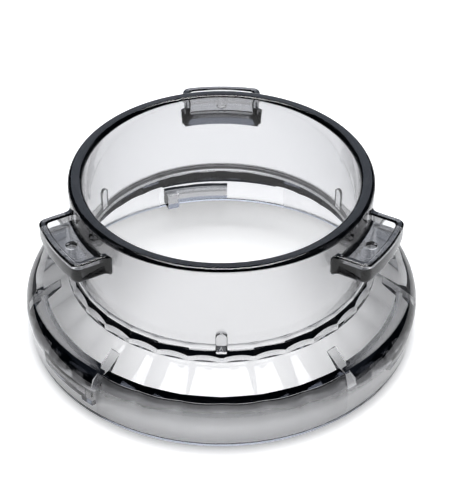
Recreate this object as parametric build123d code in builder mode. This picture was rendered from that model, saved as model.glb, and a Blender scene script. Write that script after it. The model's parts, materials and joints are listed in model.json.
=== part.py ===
"""Espresso dosing funnel: one clear moulding that stands on a portafilter and locks under its ears.

A straight collar guides the ground coffee. Below it a sloped shoulder opens into a skirt, which drops
over the portafilter. Three tabs inside the skirt hook under the portafilter's ears, and three cored
lugs near the rim give the fingers a hold. Everything repeats three times around the Z axis.
Sizes are in millimetres, angles in degrees. The foot of the skirt stands on Z = 0.
"""

import os
from math import acos, asin, atan2, cos, degrees, hypot, sin, tan

from build123d import *

os.makedirs("parts", exist_ok=True)

# Collar
overall_height = 36.5
bore_radius = 28.2
collar_wall = 3.0
rim_round = 1.0
collar_radius = bore_radius + collar_wall

# Skirt and shoulder, with heights measured up from the foot
skirt_overhang = 9.15
skirt_wall = 2.1
bulge_height = 6.1
bulge_round = 5.1
foot_inset = 0.6
foot_round = 0.5
shoulder_rise = 8.35
shoulder_wall = 2.1
neck_wall = 2.6
corner_round = 0.3
facet_count = 30
facet_land = 1.6

# Step round the collar's foot, ramped up to the collar, and the seat inside it
step_width = 1.45
step_height = 1.2
ramp_rise = 1.5
ramp_round = 2.4
seat_width = 1.75
seat_rise = 2.55
seat_fall = 1.05

# Lugs under the rim, cored out from above
sector_count = 3
lug_angle = 90.0
lug_drop = 3.5
lug_height = 4.7
lug_reach = 7.0
lug_width = 17.2
lug_corner = 1.8
lug_edge_round = 0.5
lug_wall = 1.5
lug_floor = 3.0
lug_root_round = 0.8
dimple_radius = 1.2
dimple_depth = 0.7

# Short ribs on the collar's foot, midway between the lugs
rib_width = 2.3
rib_height = 7.0
rib_reach = 0.9

# Tabs inside the skirt that hook under the ears, each with a stop at one end
tab_start = -2.0
tab_sweep = 22.0
stop_sweep = 4.0
tab_reach = 2.7
stop_reach = 3.1
tab_top = 5.2
tab_height = 2.7
stop_height = 3.7

# Gussets in pairs under the shoulder, with a thicker corner between the two of a pair
gusset_before = 20.0
gusset_after = 21.8
gusset_thickness = 2.2
gusset_length = 5.6
gusset_foot = 5.6
channel_reach = 2.3
channel_drop = 1.8

# Places worked out from the sizes above
step_radius = collar_radius + step_width
skirt_radius = step_radius + skirt_overhang
foot_radius = skirt_radius - foot_inset
cavity_radius = foot_radius - skirt_wall
step_edge_height = bulge_height + shoulder_rise
step_top = step_edge_height + step_height
ramp_top = step_top + ramp_rise
seat_radius = bore_radius + seat_width

# The shoulder is the straight line from the step's edge that touches the bulge's round
bulge_centre = skirt_radius - bulge_round
to_bulge = hypot(bulge_centre - step_radius, shoulder_rise)
shoulder_slope = atan2(shoulder_rise, bulge_centre - step_radius) - asin(bulge_round / to_bulge)
shoulder_end = (
    bulge_centre + bulge_round * sin(shoulder_slope),
    bulge_height + bulge_round * cos(shoulder_slope),
)

# Below the bulge the skirt draws in along the straight line that touches the round and meets the foot
foot_from_centre = foot_radius - bulge_centre
skirt_taper = atan2(bulge_height, foot_from_centre) - acos(bulge_round / hypot(foot_from_centre, bulge_height))


def below_shoulder(radius, wall):
    """Height at a distance from the axis, a wall's thickness below the shoulder's upper face."""
    return step_edge_height + (step_radius - radius) * tan(shoulder_slope) - wall / cos(shoulder_slope)


facet_radius = cavity_radius - corner_round - facet_land
cavity_height = below_shoulder(facet_radius, shoulder_wall)
neck_height = below_shoulder(seat_radius, neck_wall)
facet_slope = (neck_height - cavity_height) / (facet_radius - seat_radius)


def underside(radius):
    """Height of the facets under the shoulder at a distance from the axis."""
    return cavity_height + (facet_radius - radius) * facet_slope


facet_tip_radius = bore_radius - collar_wall
seat_edge_height = neck_height + seat_rise
seat_height = seat_edge_height + seat_fall
gusset_radius = cavity_radius - gusset_length

lug_top = overall_height - lug_drop
lug_bottom = lug_top - lug_height
lug_radius = collar_radius + lug_reach
pocket_bottom = lug_bottom + lug_floor
pocket_radius = lug_radius - lug_wall
dimple_place = (collar_radius + pocket_radius) / 2

wall_overlap = skirt_wall / 4
same_place = 0.01
sector_step = 360.0 / sector_count
lug_angles = [lug_angle + sector_step * k for k in range(sector_count)]
rib_angles = [angle + sector_step / 2 for angle in lug_angles]
gusset_angles = [angle + turn for angle in lug_angles for turn in (-gusset_before, gusset_after)]


def lug_outline(reach_radius, width, root_radius, corner):
    """A lug's plan along +X: straight sides, an end that follows the collar, and two round corners."""
    with BuildSketch() as outline:
        Circle(reach_radius)
        with Locations((root_radius, 0)):
            Rectangle(reach_radius, width, align=(Align.MIN, Align.CENTER), mode=Mode.INTERSECT)
        fillet(outline.vertices().group_by(Axis.X)[-1], corner)
    return outline.sketch


def ring_sector(inner_radius, outer_radius, start, sweep):
    """A piece of a flat ring, from an angle and over a sweep."""
    with BuildSketch() as sector:
        with BuildLine():
            outer = CenterArc((0, 0), outer_radius, start, sweep)
            inner = CenterArc((0, 0), inner_radius, start, sweep)
            Line(inner @ 0, outer @ 0)
            Line(inner @ 1, outer @ 1)
        make_face()
    return sector.sketch


def edges_at(builder, height, nearest, farthest):
    """Edges that lie at one height, with their middle between two distances from the axis."""
    level = builder.edges().filter_by_position(Axis.Z, height - same_place, height + same_place)
    span = (nearest - same_place, farthest + same_place)
    return level.filter_by(lambda edge: span[0] < hypot((edge @ 0.5).X, (edge @ 0.5).Y) < span[1])


with BuildPart() as funnel_body:
    # Collar, step, shoulder and skirt, turned as one solid
    with BuildSketch(Plane.XZ):
        with BuildLine():
            Polyline(
                (foot_radius, 0),
                (0, 0),
                (0, overall_height),
                (collar_radius, overall_height),
                (collar_radius, ramp_top),
                (step_radius, step_top),
                (step_radius, step_edge_height),
                shoulder_end,
            )
            bulge = JernArc(
                start=shoulder_end,
                tangent=(cos(shoulder_slope), -sin(shoulder_slope)),
                radius=bulge_round,
                arc_size=degrees(shoulder_slope - skirt_taper) - 90,
            )
            Line(bulge @ 1, (foot_radius, 0))
        make_face()
    revolve(axis=Axis.Z)
    fillet(edges_at(funnel_body, ramp_top, collar_radius, collar_radius), ramp_round)

    # Lugs, before the bore is cut
    with BuildSketch(Plane.XY.offset(lug_bottom)):
        with PolarLocations(0, sector_count, start_angle=lug_angle):
            add(lug_outline(lug_radius, lug_width, bore_radius, lug_corner))
    extrude(amount=lug_height)

    # Ribs on the collar's foot, each with an arched top
    with BuildSketch(*[Plane.YZ.rotated((0, 0, angle)) for angle in rib_angles]):
        with Locations((0, step_edge_height)):
            Rectangle(rib_width, rib_height - rib_width / 2, align=(Align.CENTER, Align.MIN))
        with Locations((0, step_edge_height + rib_height - rib_width / 2)):
            Circle(rib_width / 2)
    extrude(amount=collar_radius + rib_reach)

    # The hollow of the skirt: the seat at the top, and a flat land where the shoulder meets the wall
    with BuildSketch(Plane.XZ):
        with BuildLine():
            Polyline(
                (cavity_radius, cavity_height - corner_round),
                (cavity_radius, 0),
                (0, 0),
                (0, seat_height),
                (bore_radius, seat_height),
                (seat_radius, seat_edge_height),
                (seat_radius, cavity_height),
                (cavity_radius - corner_round, cavity_height),
            )
            RadiusArc(
                (cavity_radius - corner_round, cavity_height),
                (cavity_radius, cavity_height - corner_round),
                corner_round,
            )
        make_face()
    revolve(axis=Axis.Z, mode=Mode.SUBTRACT)

    # The facets under the shoulder
    with BuildSketch(Plane.XY.offset(cavity_height)):
        RegularPolygon(facet_radius, facet_count, rotation=180 / facet_count)
    with BuildSketch(Plane.XY.offset(underside(facet_tip_radius))):
        RegularPolygon(facet_tip_radius, facet_count, rotation=180 / facet_count)
    loft(mode=Mode.SUBTRACT)

    # Gussets from the shoulder down the skirt's wall
    with BuildSketch(*[Plane.XZ.rotated((0, 0, angle)) for angle in gusset_angles]):
        with BuildLine():
            Polyline(
                (gusset_radius, underside(gusset_radius)),
                (cavity_radius + wall_overlap, gusset_foot),
                (cavity_radius + wall_overlap, cavity_height),
                (gusset_radius, underside(gusset_radius) + shoulder_wall / 2),
                close=True,
            )
        make_face()
    extrude(amount=gusset_thickness / 2, both=True)

    # The thicker corner between the two gussets of a pair
    with BuildSketch(Plane.XY.offset(cavity_height - channel_drop)):
        with PolarLocations(0, sector_count, start_angle=lug_angle):
            add(
                ring_sector(
                    cavity_radius - channel_reach,
                    cavity_radius + wall_overlap,
                    -gusset_before,
                    gusset_before + gusset_after,
                )
            )
    extrude(amount=channel_drop + shoulder_wall / 4)

    # Tabs, and the stop at the end of each
    with BuildSketch(Plane.XY.offset(tab_top)):
        with PolarLocations(0, sector_count, start_angle=lug_angle):
            add(ring_sector(cavity_radius - tab_reach, cavity_radius + wall_overlap, tab_start, tab_sweep))
    extrude(amount=-tab_height)
    with BuildSketch(Plane.XY.offset(tab_top)):
        with PolarLocations(0, sector_count, start_angle=lug_angle):
            add(
                ring_sector(
                    cavity_radius - stop_reach,
                    cavity_radius + wall_overlap,
                    tab_start + tab_sweep - stop_sweep,
                    stop_sweep,
                )
            )
    extrude(amount=-stop_height)

    # The bore, open from end to end
    with BuildSketch():
        Circle(bore_radius)
    extrude(amount=overall_height, mode=Mode.SUBTRACT)

    # The lugs' pockets, and the mark in each floor
    with BuildSketch(Plane.XY.offset(pocket_bottom)):
        with PolarLocations(0, sector_count, start_angle=lug_angle):
            add(lug_outline(pocket_radius, lug_width - 2 * lug_wall, bore_radius, lug_corner - lug_wall / 2))
        Circle(collar_radius, mode=Mode.SUBTRACT)
    extrude(amount=overall_height - pocket_bottom, mode=Mode.SUBTRACT)
    with BuildSketch(Plane.XY.offset(pocket_bottom)):
        with PolarLocations(dimple_place, sector_count, start_angle=lug_angle):
            Circle(dimple_radius)
    extrude(amount=-dimple_depth, mode=Mode.SUBTRACT)

    # Soft edges: the rim, the foot, the lugs' undersides and the roots of their pockets
    fillet(funnel_body.edges().filter_by(GeomType.CIRCLE).group_by(Axis.Z)[-1], rim_round)
    foot_edges = funnel_body.edges().filter_by(GeomType.CIRCLE).group_by(Axis.Z)[0]
    fillet(foot_edges.sort_by(SortBy.RADIUS)[-1], foot_round)
    fillet(edges_at(funnel_body, lug_bottom, collar_radius + lug_wall, lug_radius), lug_edge_round)
    fillet(edges_at(funnel_body, pocket_bottom, bore_radius, collar_radius), lug_root_round)

funnel_body.part.label = "funnel_body"
export_step(funnel_body.part, "parts/funnel_body.step")
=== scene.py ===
"""Dresses the espresso dosing funnel: one clear moulding, on a white table under soft studio light.

The moulding is turned from one section, and what repeats three times around it (lugs, ribs, gussets,
tabs) is set out and joined to it by Geometry Nodes, so that light meets no wall inside the plastic.
Sizes are held in metres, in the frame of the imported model, with the foot on Z = 0.
"""

import json
from math import acos, asin, atan2, cos, hypot, log, pi, radians, sin, sqrt, tan

import bmesh
import bpy
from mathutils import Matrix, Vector


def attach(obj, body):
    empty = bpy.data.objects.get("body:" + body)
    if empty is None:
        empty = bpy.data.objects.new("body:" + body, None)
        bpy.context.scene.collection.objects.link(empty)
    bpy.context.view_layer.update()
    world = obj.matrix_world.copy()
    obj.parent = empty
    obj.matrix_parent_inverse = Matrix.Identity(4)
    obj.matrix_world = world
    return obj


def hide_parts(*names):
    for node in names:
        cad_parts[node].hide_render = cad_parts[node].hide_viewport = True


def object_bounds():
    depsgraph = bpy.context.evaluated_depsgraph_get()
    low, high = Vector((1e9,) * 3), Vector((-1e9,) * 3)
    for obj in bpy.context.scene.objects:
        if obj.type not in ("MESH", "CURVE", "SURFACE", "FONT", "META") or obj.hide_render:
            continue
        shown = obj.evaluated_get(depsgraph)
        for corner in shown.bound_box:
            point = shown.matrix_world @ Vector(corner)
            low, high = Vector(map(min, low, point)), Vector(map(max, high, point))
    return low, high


bl_info = {
    "name": "Dosing funnel",
    "version": (1, 0, 0),
    "blender": (4, 5, 0),
    "location": "View3D > Sidebar > Funnel",
    "description": "Makes the clear dosing funnel and the table it stands on",
    "category": "Object",
}

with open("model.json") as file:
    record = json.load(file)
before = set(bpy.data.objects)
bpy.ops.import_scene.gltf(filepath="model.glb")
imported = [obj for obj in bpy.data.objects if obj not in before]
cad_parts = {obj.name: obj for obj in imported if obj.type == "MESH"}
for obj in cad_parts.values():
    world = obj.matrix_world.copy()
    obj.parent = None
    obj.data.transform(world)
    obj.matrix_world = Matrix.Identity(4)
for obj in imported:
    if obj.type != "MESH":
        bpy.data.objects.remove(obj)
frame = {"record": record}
CAD_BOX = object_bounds()
NODE = "funnel_body"
MM = 0.001
BORE = next(m for m in frame["record"]["mounts"] if m["name"] == "collar_bore")


def length(name, description, size):
    """A size that the sidebar shows as a length, given in metres."""
    return bpy.props.FloatProperty(
        name=name,
        description=description,
        default=size,
        min=0.0,
        precision=5,
        subtype="DISTANCE",
        unit="LENGTH",
    )


def turn(name, description, degrees):
    """An angle that the sidebar shows in degrees."""
    size = radians(degrees)
    return bpy.props.FloatProperty(name=name, description=description, default=size, subtype="ANGLE")


def number(name, description, size):
    """A plain number in the sidebar."""
    return bpy.props.FloatProperty(name=name, description=description, default=size, min=0.0)


def colour(name, description, code):
    """A colour in the sidebar, as an sRGB hex code."""
    return bpy.props.StringProperty(name=name, description=description, default=code)


def count(name, description, size):
    """A whole number in the sidebar."""
    return bpy.props.IntProperty(name=name, description=description, default=size, min=1)


class FunnelSizes(bpy.types.PropertyGroup):
    """Sizes of the moulding."""

    height: length("Height", "From the foot to the rim", CAD_BOX[1].z)
    skirt_radius: length("Skirt radius", "At the bulge, where the skirt is widest", CAD_BOX[1].x)
    bore_radius: length("Bore radius", "Inside of the collar", BORE["dims"]["r_mm"] * MM)
    collar_wall: length("Collar wall", "Thickness of the collar", 3.0 * MM)
    rim_round: length("Rim round", "Radius along both edges of the rim", 1.0 * MM)
    skirt_wall: length("Skirt wall", "Thickness at the foot", 2.1 * MM)
    bulge_height: length("Bulge height", "Height of the widest place", 6.1 * MM)
    bulge_round: length("Bulge round", "Radius from the shoulder into the skirt", 5.1 * MM)
    foot_inset: length("Foot inset", "How far the foot stands in from the bulge", 0.6 * MM)
    foot_round: length("Foot round", "Radius along the foot's outer edge", 0.15 * MM)
    shoulder_rise: length("Shoulder rise", "From the bulge to the step's foot", 8.35 * MM)
    shoulder_wall: length("Shoulder wall", "Thickness where the facets end", 2.1 * MM)
    neck_wall: length("Neck wall", "Thickness where the facets begin", 2.6 * MM)
    step_width: length("Step width", "How far the step stands out from the collar", 1.45 * MM)
    step_height: length("Step height", "Upright face of the step", 1.2 * MM)
    step_fillet: length("Step fillet", "Radius at the step's foot", 0.3 * MM)
    step_round: length("Step round", "Radius along the step's upper edge", 0.12 * MM)
    ramp_rise: length("Ramp rise", "From the step up to the collar", 1.5 * MM)
    ramp_round: length("Ramp round", "Radius from the ramp into the collar", 2.4 * MM)
    seat_width: length("Seat width", "Ledge inside the collar's foot", 1.75 * MM)
    seat_rise: length("Seat rise", "From the facets up to the seat", 2.55 * MM)
    seat_fall: length("Seat fall", "How far the seat falls outwards", 1.05 * MM)
    seat_round: length("Seat round", "Radius along the seat's and facets' edges", 0.1 * MM)
    corner_round: length("Corner round", "Inside corner of the skirt", 0.04 * MM)
    facet_land: length("Facet land", "Flat ring between the facets and the skirt's wall", 1.9 * MM)
    land_rise: length("Land rise", "How far the land rises towards the skirt's wall", 0.3 * MM)
    flute_depth: length("Flute depth", "How far the middle of a facet bows out", 0.3 * MM)
    facet_count: count("Facets", "Flats under the shoulder", 30)
    sectors: count("Lugs", "Lugs, ribs and tabs around the axis", 3)
    lug_angle: turn("Lug angle", "Direction of the first lug", 90)
    lug_drop: length("Lug drop", "From the rim down to the lugs", 3.5 * MM)
    lug_height: length("Lug height", "Height of a lug", 4.7 * MM)
    lug_reach: length("Lug reach", "How far a lug stands out from the collar", 7.0 * MM)
    lug_width: length("Lug width", "Across the straight sides", 17.2 * MM)
    lug_corner: length("Lug corner", "Radius of the upright corners", 1.8 * MM)
    lug_wall: length("Lug wall", "Wall round the pocket", 1.5 * MM)
    lug_floor: length("Lug floor", "Floor under the pocket", 3.0 * MM)
    pocket_round: length("Pocket round", "Radius from the pocket's floor up to the collar", 0.8 * MM)
    mark_radius: length("Mark radius", "Round mark in the pocket's floor", 1.2 * MM)
    mark_depth: length("Mark depth", "Depth of the round mark", 0.7 * MM)
    lug_flare: length("Lug flare", "Radius from a lug's sides into the collar", 1.5 * MM)
    lug_round: length("Lug round", "Radius along the lugs' lower edges", 1.3 * MM)
    lug_soft: length("Lug rim round", "Radius along the lugs' upper edges", 0.5 * MM)
    rib_width: length("Rib width", "Ribs on the collar's foot", 2.3 * MM)
    rib_height: length("Rib height", "Above the step's foot", 7.0 * MM)
    rib_reach: length("Rib reach", "How far a rib stands out from the collar", 0.9 * MM)
    rib_sink: length("Rib sink", "How far a rib goes down into the shoulder", 0.7 * MM)
    tab_start: turn("Tab start", "From a lug's middle", -2)
    tab_end: turn("Tab end", "From a lug's middle", 20)
    tab_reach: length("Tab reach", "How far a tab stands in from the skirt", 2.7 * MM)
    tab_top: length("Tab top", "Height of the tabs' upper faces", 5.2 * MM)
    tab_height: length("Tab height", "Thickness of a tab", 2.7 * MM)
    stop_start: turn("Stop start", "From a lug's middle", 16)
    stop_end: turn("Stop end", "From a lug's middle, just past the tab", 20.2)
    stop_reach: length("Stop reach", "How far a tab's stop stands in", 3.1 * MM)
    stop_height: length("Stop height", "From the tab's upper face down", 3.7 * MM)
    pair_start: turn("Pair start", "First gusset of a pair, from a lug's middle", -20)
    pair_end: turn("Pair end", "Second gusset of a pair, from a lug's middle", 21.8)
    channel_reach: length("Channel reach", "Thicker corner between a pair, from the skirt's wall", 2.3 * MM)
    channel_drop: length("Channel drop", "Thicker corner between a pair, from the land down", 1.8 * MM)
    gusset_thickness: length("Gusset thickness", "Plates under the shoulder", 2.2 * MM)
    gusset_length: length("Gusset length", "From the skirt's wall inwards", 5.6 * MM)
    gusset_foot: length("Gusset foot", "Height of a gusset's lower tip", 5.6 * MM)
    edge_round: length("Edge round", "Small radius that the mould leaves on edges", 0.3 * MM)


class FunnelLooks(bpy.types.PropertyGroup):
    """Finish of the plastic and the light."""

    tint: colour("Tint", "Colour of light that has crossed the tint depth", "#cdcdce")
    tint_depth: length("Tint depth", "Way through the plastic that gives the tint", 3.0 * MM)
    refraction: number("Refraction", "Index of refraction", 1.59)
    satin: number("Satin", "Roughness of the skirt's inner wall", 0.35)
    table: colour("Table", "Colour of the table", "#f3f3f3")
    table_glow: number("Table glow", "Light that the table gives off", 0.48)
    room: colour("Room", "Colour of the dark room", "#2a323e")
    gamma: number("Gamma", "Below 1, the view has more contrast", 0.8)


def from_hex(code):
    """Linear colour from an sRGB hex code."""
    parts = [int(code[i : i + 2], 16) / 255 for i in (1, 3, 5)]
    return [c / 12.92 if c <= 0.04045 else ((c + 0.055) / 1.055) ** 2.4 for c in parts]


def add_node(tree, kind, settings=None, **inputs):
    """Adds a node, sets its settings, and sets or links its inputs, with _ for a space in their names."""
    node = tree.nodes.new(kind)
    for name, value in (settings or {}).items():
        setattr(node, name, value)
    for name, value in inputs.items():
        socket = node.inputs[name.replace("_", " ")]
        if isinstance(value, bpy.types.NodeSocket):
            tree.links.new(value, socket)
        else:
            socket.default_value = value
    return node


def calculate(tree, operation, *values):
    """A Math node's result, from numbers and other nodes' results."""
    node = add_node(tree, "ShaderNodeMath", {"operation": operation})
    for socket, value in zip(node.inputs, values):
        if isinstance(value, bpy.types.NodeSocket):
            tree.links.new(value, socket)
        else:
            socket.default_value = value
    return node.outputs[0]


class Places:
    """Places on the moulding that follow from its sizes."""

    def __init__(self, s):
        self.collar = s.bore_radius + s.collar_wall
        self.step = self.collar + s.step_width
        self.step_edge = s.bulge_height + s.shoulder_rise
        self.step_top = self.step_edge + s.step_height
        self.ramp_top = self.step_top + s.ramp_rise
        self.seat = s.bore_radius + s.seat_width
        self.foot = s.skirt_radius - s.foot_inset
        self.cavity = self.foot - s.skirt_wall
        bulge_centre = s.skirt_radius - s.bulge_round
        reach = bulge_centre - self.step
        self.slope = atan2(s.shoulder_rise, reach) - asin(s.bulge_round / hypot(reach, s.shoulder_rise))
        foot_reach = self.foot - bulge_centre
        taper = atan2(s.bulge_height, foot_reach) - acos(s.bulge_round / hypot(foot_reach, s.bulge_height))
        meet = self.foot + tan(taper) * self.shoulder(0)
        self.crest = meet / (1 + tan(taper) * tan(self.slope))
        self.facet = self.cavity - s.facet_land
        self.cavity_top = self.shoulder(self.facet) - s.shoulder_wall / cos(self.slope)
        self.neck = self.shoulder(self.seat) - s.neck_wall / cos(self.slope)
        self.seat_edge = self.neck + s.seat_rise
        self.seat_top = self.seat_edge + s.seat_fall
        self.lug_top = s.height - s.lug_drop
        self.lug_bottom = self.lug_top - s.lug_height
        self.pocket_bottom = self.lug_bottom + s.lug_floor
        self.lug_end = self.collar + s.lug_reach
        self.pocket_end = self.lug_end - s.lug_wall

    def shoulder(self, radius):
        """Height of the shoulder's upper face."""
        return self.step_edge + (self.step - radius) * tan(self.slope)

    def underside(self, radius):
        """Height of the facets under the shoulder."""
        part_way = (self.facet - radius) / (self.facet - self.seat)
        return self.cavity_top + (self.neck - self.cavity_top) * part_way


def rounded(corners):
    """Closed outline through corners (x, y, radius, steps), each turned into an arc."""
    points = []
    for i, (x, y, radius, steps) in enumerate(corners):
        here = Vector((x, y))
        back = (Vector(corners[i - 1][:2]) - here).normalized()
        on = (Vector(corners[(i + 1) % len(corners)][:2]) - here).normalized()
        half = back.angle(on) / 2
        middle = (back + on).normalized()
        centre = here + middle * (radius / sin(half))
        start = here + back * (radius / tan(half)) - centre
        end = here + on * (radius / tan(half)) - centre
        sweep = start.angle(end)
        for k in range(steps + 1):
            t = k / steps
            points.append(centre + (start * sin((1 - t) * sweep) + end * sin(t * sweep)) / sin(sweep))
    return points


def section(s, p, angle):
    """Section of the moulding at an angle round the axis, as (radius, height).

    Each facet bows: inwards at the seat, upwards under the shoulder and outwards at the skirt's wall.
    """
    flat = 2 * pi / s.facet_count
    off_middle = ((angle + flat / 2) % flat) - flat / 2
    bow = s.flute_depth * (1 - (2 * off_middle / flat) ** 2)
    seat = p.seat - bow
    land = p.cavity_top + bow / 2
    return rounded(
        [
            (p.cavity, 0, s.edge_round, 8),
            (p.foot, 0, s.foot_round, 9),
            (p.crest, p.shoulder(p.crest), s.bulge_round, 24),
            (p.step, p.step_edge, s.step_fillet, 6),
            (p.step, p.step_top, s.step_round, 5),
            (p.collar, p.ramp_top, s.ramp_round, 8),
            (p.collar, s.height, s.rim_round, 9),
            (s.bore_radius, s.height, s.rim_round, 9),
            (s.bore_radius, p.seat_top, s.seat_round, 5),
            (seat, p.seat_edge - bow / 2, s.seat_round, 5),
            (seat, p.underside(seat) + bow, s.seat_round, 5),
            (p.facet, land, s.seat_round, 4),
            (p.cavity + bow, land + s.land_rise, s.corner_round, 8),
        ]
    )


def mesh_object(name, bm):
    """Closes a bmesh into an object in the scene, with its faces pointing outwards."""
    bmesh.ops.remove_doubles(bm, verts=bm.verts, dist=1e-7)
    bmesh.ops.recalc_face_normals(bm, faces=bm.faces)
    mesh = bpy.data.meshes.new(name)
    bm.to_mesh(mesh)
    bm.free()
    obj = bpy.data.objects.new(name, mesh)
    bpy.context.scene.collection.objects.link(obj)
    return obj


def turned(name, s, p, steps):
    """The body of revolution, with the facets under its shoulder."""
    bm = bmesh.new()
    rings = []
    for k in range(steps):
        angle = 2 * pi * k / steps
        turned_points = [(r * cos(angle), r * sin(angle), z) for r, z in section(s, p, angle)]
        rings.append([bm.verts.new(co) for co in turned_points])
    for k, ring in enumerate(rings):
        after = rings[(k + 1) % steps]
        for i in range(len(ring)):
            j = (i + 1) % len(ring)
            bm.faces.new((ring[i], after[i], after[j], ring[j]))
    return mesh_object(name, bm)


def stacked(name, loops):
    """A closed solid through loops that have the same number of points."""
    bm = bmesh.new()
    rings = [[bm.verts.new(co) for co in loop] for loop in loops]
    for low, high in zip(rings, rings[1:]):
        for i in range(len(low)):
            j = (i + 1) % len(low)
            bm.faces.new((low[i], low[j], high[j], high[i]))
    bm.faces.new(rings[0])
    bm.faces.new(rings[-1])
    return mesh_object(name, bm)


def arc(radius, start, end, steps, centre=(0.0, 0.0)):
    """Points along a circle."""
    angles = [start + (end - start) * k / steps for k in range(steps + 1)]
    return [(centre[0] + radius * cos(a), centre[1] + radius * sin(a)) for a in angles]


def lug_plan(half_width, end, corner, root, flare=None):
    """A lug's plan along +X. Its root follows a circle, or flares by (radius, circle) and ends straight."""
    corner_x = sqrt((end - corner) ** 2 - (half_width - corner) ** 2)
    corner_turn = atan2(half_width - corner, corner_x)
    right = arc(corner, -pi / 2, -corner_turn, 8, (corner_x, corner - half_width))
    left = arc(corner, corner_turn, pi / 2, 8, (corner_x, half_width - corner))
    tip = arc(end, -corner_turn, corner_turn, 24)[1:-1]
    if flare is None:
        spread = asin(half_width / root)
        return right + tip + left + arc(root, spread, -spread, 24)
    radius, circle = flare
    middle = (sqrt((circle + radius) ** 2 - (half_width + radius) ** 2), half_width + radius)
    sweep = atan2(middle[1], middle[0]) + pi
    side = arc(radius, 1.5 * pi, sweep, 6, middle)
    back = side + [(root, side[-1][1]), (root, -side[-1][1])] + [(x, -y) for x, y in reversed(side)]
    return right + tip + left + back


def quarter(radius):
    """Steps (rise, inset) up a quarter round that starts flat."""
    bends = [pi / 16 * k for k in range(9)]
    return [(radius * (1 - cos(bend)), radius * (1 - sin(bend))) for bend in bends]


def at_height(plan, z):
    """A plan lifted to a height."""
    return [(x, y, z) for x, y in plan]


def lug_block(s, p):
    """A lug before its pocket is cut, with softened upper and lower edges."""
    root = s.bore_radius + 0.45 * s.collar_wall
    flare = (s.lug_flare, p.collar)
    levels = [(p.lug_bottom + rise, inset) for rise, inset in quarter(s.lug_round)]
    levels += [(p.lug_top - rise, inset) for rise, inset in reversed(quarter(s.lug_soft))]
    loops = []
    for z, inset in levels:
        plan = lug_plan(s.lug_width / 2 - inset, p.lug_end - inset, s.lug_corner - inset, root, flare)
        loops.append(at_height(plan, z))
    return stacked("lug", loops)


def lug_pocket(s, p):
    """What is cut from a lug: straight walls, a rounded root at the collar and a softened mouth."""
    soft = s.edge_round
    skin = 0.02 * MM
    levels = [(p.pocket_bottom + rise, 0, fill) for rise, fill in quarter(s.pocket_round)]
    levels += [(p.lug_top - soft, 0, 0), (p.lug_top, -soft, 0), (s.height, -soft, 0)]
    loops = []
    for z, inset, root_fill in levels:
        half = s.lug_width / 2 - s.lug_wall - inset
        root = p.collar + skin + root_fill
        plan = lug_plan(half, p.pocket_end - inset, s.lug_corner - s.lug_wall / 2, root)
        loops.append(at_height(plan, z))
    return stacked("lug_pocket", loops)


def pocket_mark(s, p):
    """The round mark in a pocket's floor."""
    centre = ((p.collar + p.pocket_end) / 2, 0.0)
    bevel = s.edge_round / 2
    bottom = p.pocket_bottom - s.mark_depth
    levels = [(bottom, s.mark_radius - bevel), (bottom + bevel, s.mark_radius)]
    levels += [(p.pocket_bottom + s.mark_depth, s.mark_radius)]
    return stacked("pocket_mark", [at_height(arc(r, 0, 2 * pi, 48, centre)[:-1], z) for z, r in levels])


def foot_rib(s, p):
    """A rib on the collar's foot, with an arched top and softened outer edges."""
    soft = s.edge_round
    outer = p.collar + s.rib_reach
    top = p.step_edge + s.rib_height - s.rib_width / 2
    bottom = p.step_edge - s.rib_sink
    root = p.collar - 0.5 * s.collar_wall
    loops = []
    for x, inset in ((root, 0), (outer - soft, 0), (outer - 0.3 * soft, 0.3 * soft), (outer, soft)):
        half = s.rib_width / 2 - inset
        outline = arc(half, 0, pi, 16, (0.0, top)) + [(-half, bottom), (half, bottom)]
        loops.append([(x, y, z) for y, z in outline])
    return stacked("foot_rib", loops)


def gusset(s, p):
    """A plate from under the shoulder down the skirt's wall."""
    inner = p.cavity - s.gusset_length
    outer = p.cavity + s.skirt_wall / 4
    half = s.gusset_thickness / 2
    side = [(inner, p.underside(inner)), (outer, s.gusset_foot), (outer, p.cavity_top)]
    side += [(inner, p.underside(inner) + s.shoulder_wall / 2)]
    return stacked("gusset", [[(x, y, z) for x, z in side] for y in (-half, half)])


def ring_piece(name, inner, outer, start, end, levels):
    """Part of a ring, with its inner edge moved out by an inset at some levels (height, inset)."""
    loops = []
    for z, inset in levels:
        plan = arc(outer, start, end, 32) + arc(inner + inset, end, start, 32)
        loops.append(at_height(plan, z))
    return stacked(name, loops)


def ear_channel(s, p):
    """The thicker corner between the two gussets of a pair."""
    inner = p.cavity - s.channel_reach
    outer = p.cavity + s.skirt_wall / 4
    levels = [(p.cavity_top - s.channel_drop, 0), (p.cavity_top + s.shoulder_wall / 4, 0)]
    return ring_piece("ear_channel", inner, outer, s.pair_start, s.pair_end, levels)


def tab(s, p):
    """A tab that hooks under an ear."""
    soft = s.edge_round
    low = s.tab_top - s.tab_height
    levels = [(low, soft), (low + soft, 0), (s.tab_top - soft, 0), (s.tab_top, soft)]
    outer = p.cavity + s.skirt_wall / 4
    return ring_piece("tab", p.cavity - s.tab_reach, outer, s.tab_start, s.tab_end, levels)


def stop(s, p):
    """The stop at a tab's end."""
    outer = p.cavity + s.skirt_wall / 5
    levels = [(s.tab_top - s.stop_height, 0), (s.tab_top + 0.05 * MM, 0)]
    return ring_piece("stop", p.cavity - s.stop_reach, outer, s.stop_start, s.stop_end, levels)


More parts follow.
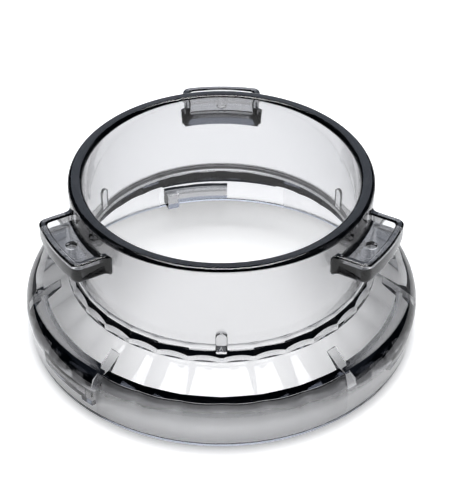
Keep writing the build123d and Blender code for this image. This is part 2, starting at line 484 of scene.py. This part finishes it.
def joining_tree(added, cut):
    """Geometry Nodes that set pieces out around the axis, join some to the body and cut the others out."""
    tree = bpy.data.node_groups.new("moulding", "GeometryNodeTree")
    face = tree.interface
    face.new_socket("Body", in_out="INPUT", socket_type="NodeSocketGeometry")
    face.new_socket("Around", in_out="INPUT", socket_type="NodeSocketInt")
    face.new_socket("First angle", in_out="INPUT", socket_type="NodeSocketFloat")
    face.new_socket("Material", in_out="INPUT", socket_type="NodeSocketMaterial")
    for name in list(added) + list(cut):
        face.new_socket(name, in_out="INPUT", socket_type="NodeSocketObject")
        face.new_socket(name + " turn", in_out="INPUT", socket_type="NodeSocketFloat")
    face.new_socket("Moulding", in_out="OUTPUT", socket_type="NodeSocketGeometry")
    given = add_node(tree, "NodeGroupInput").outputs
    index = add_node(tree, "GeometryNodeInputIndex").outputs["Index"]
    line = add_node(tree, "GeometryNodeMeshLine", Count=given["Around"], Offset=(0, 0, 0)).outputs["Mesh"]
    step = calculate(tree, "DIVIDE", 2 * pi, given["Around"])

    def around(name):
        """One piece, repeated around the axis and made real."""
        first = calculate(tree, "ADD", given["First angle"], given[name + " turn"])
        angle = calculate(tree, "MULTIPLY_ADD", index, step, first)
        spin = add_node(tree, "ShaderNodeCombineXYZ", Z=angle).outputs[0]
        piece = add_node(tree, "GeometryNodeObjectInfo", Object=given[name]).outputs["Geometry"]
        copies = add_node(tree, "GeometryNodeInstanceOnPoints", Points=line, Instance=piece, Rotation=spin)
        return add_node(tree, "GeometryNodeRealizeInstances", Geometry=copies.outputs[0]).outputs[0]

    union = add_node(tree, "GeometryNodeMeshBoolean", {"operation": "UNION", "solver": "EXACT"})
    for piece in [given["Body"]] + [around(name) for name in added]:
        tree.links.new(piece, union.inputs["Mesh 2"])
    less = add_node(tree, "GeometryNodeMeshBoolean", {"operation": "DIFFERENCE", "solver": "EXACT"})
    tree.links.new(union.outputs["Mesh"], less.inputs["Mesh 1"])
    for name in cut:
        tree.links.new(around(name), less.inputs["Mesh 2"])
    real = add_node(tree, "GeometryNodeRealizeInstances", Geometry=less.outputs["Mesh"]).outputs[0]
    shown = add_node(tree, "GeometryNodeSetMaterial", Geometry=real, Material=given["Material"]).outputs[0]
    add_node(tree, "NodeGroupOutput", Moulding=shown)
    return tree


def satin_wall(tree, place, s, p):
    """1 on the skirt's inner wall between the pairs of gussets, and 0 elsewhere."""
    level = add_node(tree, "ShaderNodeMapping", Vector=place, Scale=(1, 1, 0)).outputs[0]
    radius = add_node(tree, "ShaderNodeVectorMath", {"operation": "LENGTH"}, Vector=level).outputs["Value"]
    parts = add_node(tree, "ShaderNodeSeparateXYZ", Vector=place).outputs
    on_wall = calculate(tree, "COMPARE", radius, p.cavity, 0.5 * MM)
    below_land = calculate(tree, "LESS_THAN", parts["Z"], p.cavity_top)
    angle = calculate(tree, "ARCTAN2", parts["Y"], parts["X"])
    from_lug = calculate(tree, "MULTIPLY_ADD", angle, s.sectors, -s.sectors * s.lug_angle)
    past_pair = cos(s.sectors * s.pair_end)
    between_pairs = calculate(tree, "LESS_THAN", calculate(tree, "COSINE", from_lug), past_pair)
    return calculate(tree, "MULTIPLY", calculate(tree, "MULTIPLY", on_wall, below_land), between_pairs)


def clear_plastic(looks, s, p):
    """Polished, slightly smoky styrene: clear in a thin wall, dark along a thick one, with flow marks."""
    material = bpy.data.materials.new("smoky_clear_styrene")
    material.use_nodes = True
    tree = material.node_tree
    tree.nodes.clear()
    place = add_node(tree, "ShaderNodeTexCoord").outputs["Object"]
    flow = add_node(tree, "ShaderNodeTexNoise", Vector=place, Scale=1 / (9 * MM), Detail=1.0).outputs["Fac"]
    bump = add_node(tree, "ShaderNodeBump", Height=flow, Strength=0.04, Distance=0.2 * MM).outputs["Normal"]
    haze = add_node(tree, "ShaderNodeTexNoise", Vector=place, Scale=1 / (4 * MM), Detail=3.0).outputs["Fac"]
    polish = add_node(tree, "ShaderNodeMapRange", Value=haze, To_Min=0.0, To_Max=0.03).outputs[0]
    finish = calculate(tree, "MULTIPLY_ADD", satin_wall(tree, place, s, p), looks.satin, polish)
    shader = add_node(tree, "ShaderNodeBsdfPrincipled", Roughness=finish, Normal=bump)
    shader.inputs["Base Color"].default_value = (1, 1, 1, 1)
    shader.inputs["Transmission Weight"].default_value = 1.0
    shader.inputs["IOR"].default_value = looks.refraction
    # What is left after the tint depth gives the share that each colour loses on the way.
    smoke = add_node(tree, "ShaderNodeVolumeAbsorption", Density=1 / looks.tint_depth)
    smoke.inputs["Color"].default_value = (*(1 + log(c) for c in from_hex(looks.tint)), 1)
    add_node(tree, "ShaderNodeOutputMaterial", Surface=shader.outputs[0], Volume=smoke.outputs[0])
    return material


class FUNNEL_OT_moulding(bpy.types.Operator):
    """Makes the clear moulding in place of its CAD node"""

    bl_idname = "funnel.moulding"
    bl_label = "Moulding"

    def execute(self, context):
        s = context.scene.funnel_sizes
        p = Places(s)
        midway = pi / s.sectors
        added = {
            "Lug": (lug_block(s, p), 0.0),
            "Rib": (foot_rib(s, p), midway),
            "First gusset": (gusset(s, p), s.pair_start),
            "Second gusset": (gusset(s, p), s.pair_end),
            "Ear channel": (ear_channel(s, p), 0.0),
            "Tab": (tab(s, p), 0.0),
            "Stop": (stop(s, p), 0.0),
        }
        cut = {"Pocket": (lug_pocket(s, p), 0.0), "Mark": (pocket_mark(s, p), 0.0)}
        body = turned("funnel_moulding", s, p, 8 * s.facet_count)
        maker = body.modifiers.new("moulding", "NODES")
        maker.node_group = joining_tree(added, cut)
        plastic = clear_plastic(context.scene.funnel_looks, s, p)
        values = {"Around": s.sectors, "First angle": s.lug_angle, "Material": plastic}
        for name, (piece, angle) in {**added, **cut}.items():
            values[name] = piece
            values[name + " turn"] = angle
        for item in maker.node_group.interface.items_tree:
            if item.in_out == "INPUT" and item.name in values:
                maker[item.identifier] = values[item.name]
        context.view_layer.update()
        mesh = bpy.data.meshes.new_from_object(body.evaluated_get(context.evaluated_depsgraph_get()))
        body.modifiers.remove(maker)
        while mesh.materials[0] is None:
            mesh.materials.pop(index=0)
        body.data = mesh
        for piece, _ in [*added.values(), *cut.values()]:
            bpy.data.objects.remove(piece)
        self.finish_mesh(mesh)
        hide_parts(NODE)
        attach(body, "root")
        return {"FINISHED"}

    def finish_mesh(self, mesh):
        """Merges what the joining left, checks that the skin is closed, and shades it."""
        bm = bmesh.new()
        bm.from_mesh(mesh)
        bmesh.ops.remove_doubles(bm, verts=bm.verts, dist=2e-6)
        bmesh.ops.dissolve_degenerate(bm, edges=bm.edges, dist=1e-6)
        bmesh.ops.triangulate(bm, faces=[f for f in bm.faces if len(f.verts) > 4])
        open_edges = sum(not e.is_manifold for e in bm.edges)
        if open_edges:
            raise RuntimeError(f"the moulding has {open_edges} open edges")
        bm.to_mesh(mesh)
        bm.free()
        mesh.shade_smooth()
        mesh.set_sharp_from_angle(angle=radians(12))


class FUNNEL_OT_stage(bpy.types.Operator):
    """Makes the white table, the soft studio light and the camera"""

    bl_idname = "funnel.stage"
    bl_label = "Stage"

    def execute(self, context):
        scene = context.scene
        looks = scene.funnel_looks
        scene.view_settings.view_transform = "Standard"
        scene.view_settings.gamma = looks.gamma
        self.table(scene, looks)
        self.room(scene, looks)
        self.camera(scene)
        return {"FINISHED"}

    def table(self, scene, looks):
        """A table top that glows a little, as a light table does."""
        bm = bmesh.new()
        bmesh.ops.create_grid(bm, x_segments=1, y_segments=1, size=3.0)
        bmesh.ops.translate(bm, verts=bm.verts, vec=(0, 0, -0.2 * MM))
        top = mesh_object("table", bm)
        material = bpy.data.materials.new("white_light_table")
        material.use_nodes = True
        shader = material.node_tree.nodes["Principled BSDF"]
        shader.inputs["Base Color"].default_value = (*from_hex(looks.table), 1)
        shader.inputs["Roughness"].default_value = 0.6
        shader.inputs["Emission Color"].default_value = (1, 1, 1, 1)
        shader.inputs["Emission Strength"].default_value = looks.table_glow
        top.data.materials.append(material)

    def room(self, scene, looks):
        """A dark, slightly blue room with one soft box overhead and a wide, dim one behind."""
        world = bpy.data.worlds.new("studio")
        scene.world = world
        world.use_nodes = True
        world.node_tree.nodes["Background"].inputs["Color"].default_value = (*from_hex(looks.room), 1)
        boxes = {
            "overhead_box": ((0, 0.22, 1.3), (0.85, 0.85), 18.8, "#ffffff"),
            "back_box": ((0, 1.4, 0.9), (1.6, 0.9), 6.0, "#eaf1ff"),
        }
        for name, (place, size, power, colour) in boxes.items():
            data = bpy.data.lights.new(name, "AREA")
            data.color = from_hex(colour)
            data.shape = "RECTANGLE"
            data.size, data.size_y = size
            data.energy = power
            lamp = bpy.data.objects.new(name, data)
            lamp.location = place
            lamp.rotation_mode = "QUATERNION"
            lamp.rotation_quaternion = (-Vector(place)).to_track_quat("-Z", "Y")
            scene.collection.objects.link(lamp)

    def camera(self, scene):
        """The photograph's view: 39 degrees above the table, looking along +Y."""
        frame_size = (467, 485)
        focal_pixels = 1500
        middle = (221.45, 255.27)
        target = Vector((0, 0, 15 * MM))
        distance = 317.6 * MM
        elevation = radians(39)
        data = bpy.data.cameras.new("camera")
        long_side = max(frame_size)
        data.lens = data.sensor_width * focal_pixels / long_side
        data.shift_x = (frame_size[0] / 2 - middle[0]) / long_side
        data.shift_y = (middle[1] - frame_size[1] / 2) / long_side
        eye = bpy.data.objects.new("camera", data)
        back = Vector((0, -cos(elevation), sin(elevation)))
        eye.location = target + back * distance
        eye.rotation_mode = "QUATERNION"
        eye.rotation_quaternion = (-back).to_track_quat("-Z", "Y")
        scene.collection.objects.link(eye)
        scene.camera = eye


class FUNNEL_PT_sidebar(bpy.types.Panel):
    """Lists the operators and their sizes"""

    bl_label = "Dosing funnel"
    bl_idname = "FUNNEL_PT_sidebar"
    bl_space_type = "VIEW_3D"
    bl_region_type = "UI"
    bl_category = "Funnel"

    def draw(self, context):
        for group in (context.scene.funnel_sizes, context.scene.funnel_looks):
            for name in group.__annotations__:
                self.layout.prop(group, name)
        for operator in (FUNNEL_OT_moulding, FUNNEL_OT_stage):
            self.layout.operator(operator.bl_idname)


CLASSES = (FunnelSizes, FunnelLooks, FUNNEL_OT_moulding, FUNNEL_OT_stage, FUNNEL_PT_sidebar)


def register():
    """Adds the classes and their settings."""
    for cls in CLASSES:
        bpy.utils.register_class(cls)
    bpy.types.Scene.funnel_sizes = bpy.props.PointerProperty(type=FunnelSizes)
    bpy.types.Scene.funnel_looks = bpy.props.PointerProperty(type=FunnelLooks)


def unregister():
    """Takes the classes and their settings away."""
    del bpy.types.Scene.funnel_sizes
    del bpy.types.Scene.funnel_looks
    for cls in reversed(CLASSES):
        bpy.utils.unregister_class(cls)


def main():
    """Makes the moulding and the stage."""
    register()
    bpy.ops.funnel.moulding()
    bpy.ops.funnel.stage()


if __name__ == "__main__":
    main()
